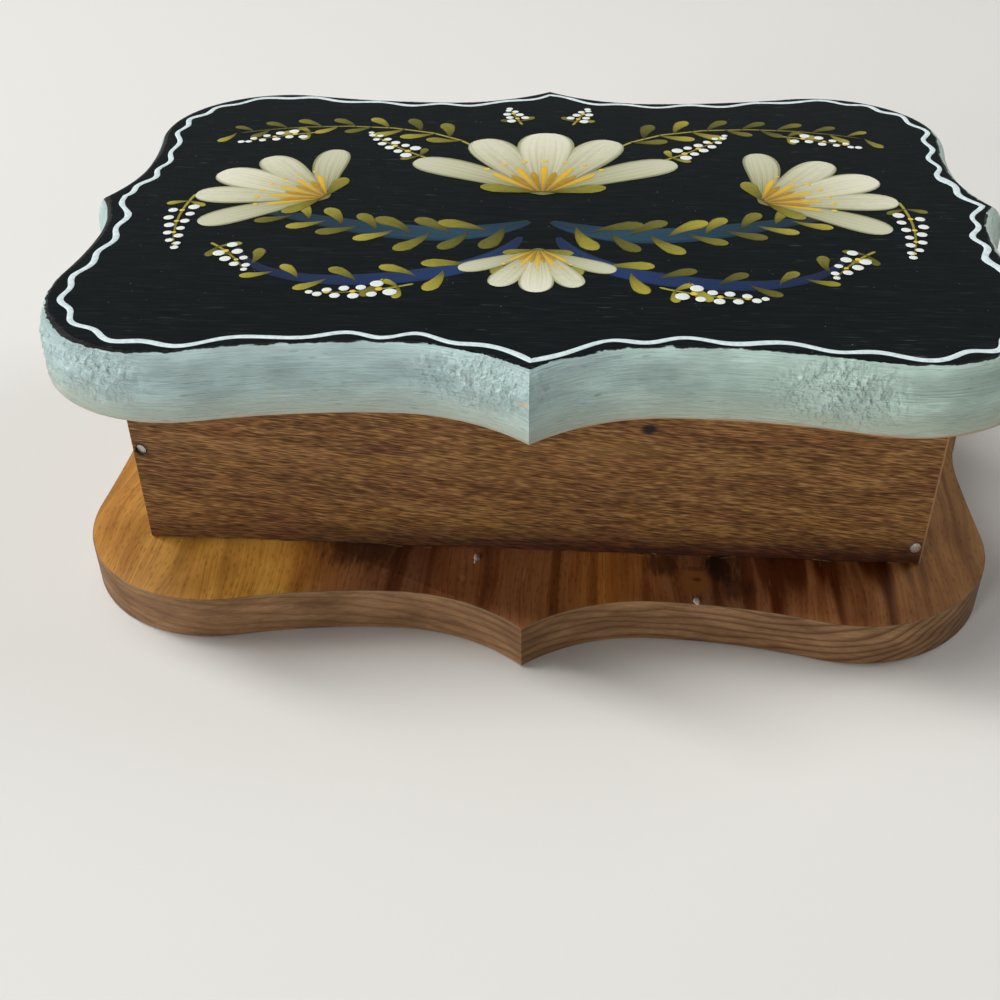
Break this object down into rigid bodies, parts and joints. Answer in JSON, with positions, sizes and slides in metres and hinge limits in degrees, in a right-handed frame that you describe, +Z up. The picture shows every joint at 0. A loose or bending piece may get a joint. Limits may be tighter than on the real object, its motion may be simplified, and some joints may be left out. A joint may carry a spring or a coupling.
{
  "type": "wooden trinket box",
  "caption": "Small wooden keepsake box: four thin stained boards between two scalloped plaques, the upper one a hinged lid, painted dark with a pale rounded edge.",
  "frame": {"origin": "middle of the underside of the base plaque, on the surface the box stands on", "axes": "+X along the box's length to its right, -Y its front, +Z up"},
  "size_m": [0.254, 0.1953, 0.084],
  "materials": {
    "stained_pine": "satin",
    "stained_boards": "satin",
    "black_lid_paint": "satin",
    "pale_edge_paint": "satin",
    "border_paint": "satin",
    "flower_paint": "satin",
    "leaf_paint": "satin",
    "scroll_paint": "satin",
    "hinge_brass": "satin",
    "nail_steel": "satin"
  },
  "bodies": {
    "case": {"base_plaque": "stained_pine", "front_board": "stained_boards", "back_board": "stained_boards", "left_end_board": "stained_boards", "right_end_board": "stained_boards", "corner_nail_front_left": "nail_steel", "corner_nail_front_right": "nail_steel", "corner_nail_back_left": "nail_steel", "corner_nail_back_right": "nail_steel", "base_nail_front_1": "nail_steel", "base_nail_front_2": "nail_steel", "base_nail_front_3": "nail_steel", "base_nail_back_1": "nail_steel", "base_nail_back_2": "nail_steel", "base_nail_back_3": "nail_steel", "base_nail_left_end": "nail_steel", "base_nail_right_end": "nail_steel", "left_hinge_wall_leaf": "hinge_brass", "left_hinge_pin": "hinge_brass", "left_hinge_wall_screw_1": "hinge_brass", "left_hinge_wall_screw_2": "hinge_brass", "right_hinge_wall_leaf": "hinge_brass", "right_hinge_pin": "hinge_brass", "right_hinge_wall_screw_1": "hinge_brass", "right_hinge_wall_screw_2": "hinge_brass"},
    "lid": {"lid_plaque": "black_lid_paint", "left_hinge_lid_leaf": "hinge_brass", "left_hinge_lid_screw_1": "hinge_brass", "left_hinge_lid_screw_2": "hinge_brass", "right_hinge_lid_leaf": "hinge_brass", "right_hinge_lid_screw_1": "hinge_brass", "right_hinge_lid_screw_2": "hinge_brass"}
  },
  "joints": [
    {"name": "lid_hinge", "type": "hinge", "parent": "case", "child": "lid", "pos_m": [0, 0.068, 0.064], "axis": [-1, 0, 0], "range_deg": [0, 98]}
  ]
}
